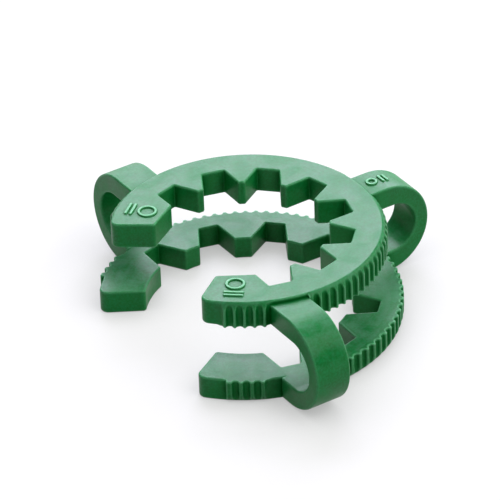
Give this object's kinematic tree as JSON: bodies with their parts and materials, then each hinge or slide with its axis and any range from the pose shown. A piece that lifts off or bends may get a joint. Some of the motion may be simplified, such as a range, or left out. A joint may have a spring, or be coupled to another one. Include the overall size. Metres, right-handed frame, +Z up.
{
  "type": "ground glass joint clip",
  "caption": "C shaped spring clip with two toothed plates joined by strap loops, which snaps over a conical glass joint and holds its cone in its socket.",
  "frame": {"origin": "on the axis of the glass joint, at the underside of the lower plate, which the clip stands on", "axes": "+Z up along the glass joint from socket to cone, -Y out of the mouth, +X across the clip"},
  "size_m": [0.097, 0.0761, 0.0251],
  "materials": {
    "green_plastic": "satin moulded acetal, through-coloured green"
  },
  "bodies": {
    "root": {"joint_clip": "green_plastic"}
  },
  "joints": []
}
